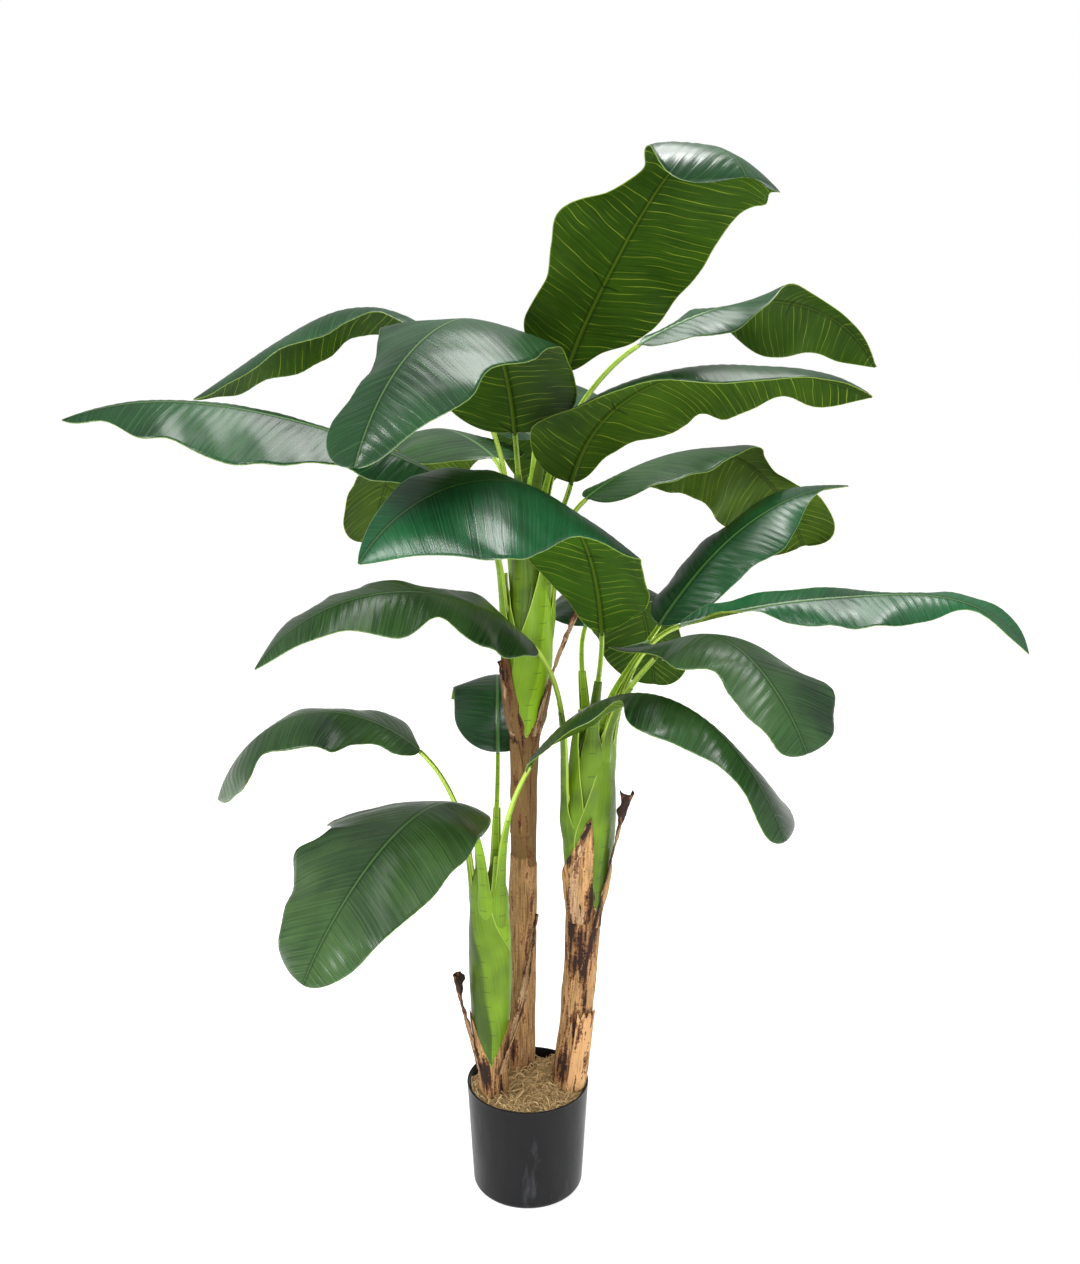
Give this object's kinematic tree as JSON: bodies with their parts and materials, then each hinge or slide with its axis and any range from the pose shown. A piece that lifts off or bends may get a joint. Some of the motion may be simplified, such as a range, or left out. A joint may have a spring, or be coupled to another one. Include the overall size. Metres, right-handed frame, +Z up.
{
  "type": "artificial banana plant",
  "caption": "Tall artificial banana plant: broad drooping fronds on a cluster of sheathed stems, standing in a round black planter pot topped with dry moss.",
  "frame": {"origin": "centre of the pot's flat underside, on the floor", "axes": "+Z up along the pot's axis; the plant's front, as pictured, faces -Y; +X is to the viewer's right"},
  "size_m": [1.4866, 1.0505, 1.7595],
  "materials": {
    "pot_plastic": "satin",
    "cement": "matte",
    "moss_fibre": "matte",
    "trunk_bark": "matte",
    "dry_sheath": "matte",
    "green_stem": "satin",
    "leaf": "satin"
  },
  "bodies": {
    "root": {"dry_strip_right_front": "dry_sheath", "dry_strip_right_long": "dry_sheath", "dry_strip_short_left": "dry_sheath", "dry_strip_short_right": "dry_sheath", "dry_strip_tall_left": "dry_sheath", "dry_strip_tall_right": "dry_sheath", "dry_wrap_right": "dry_sheath", "dry_wrap_tall": "dry_sheath", "frond_right_back": "leaf", "frond_right_drooping": "leaf", "frond_right_front": "leaf", "frond_right_long": "leaf", "frond_right_raised": "leaf", "frond_right_reaching_left": "leaf", "frond_short_back": "leaf", "frond_short_front": "leaf", "frond_short_left": "leaf", "frond_short_right": "leaf", "frond_tall_back": "leaf", "frond_tall_back_left": "leaf", "frond_tall_back_right": "leaf", "frond_tall_front": "leaf", "frond_tall_left": "leaf", "frond_tall_left_high": "leaf", "frond_tall_right": "leaf", "frond_tall_right_high": "leaf", "frond_tall_top": "leaf", "moss": "moss_fibre", "pot": "pot_plastic", "pot_fill": "cement", "pseudostem_right": "green_stem", "pseudostem_short": "green_stem", "pseudostem_tall": "green_stem", "sheath_right_front": "green_stem", "sheath_right_left": "green_stem", "sheath_short_front": "green_stem", "sheath_short_left": "green_stem", "sheath_tall_front": "green_stem", "sheath_tall_left": "green_stem", "trunk_right": "trunk_bark", "trunk_short": "trunk_bark", "trunk_tall": "trunk_bark"}
  },
  "joints": []
}
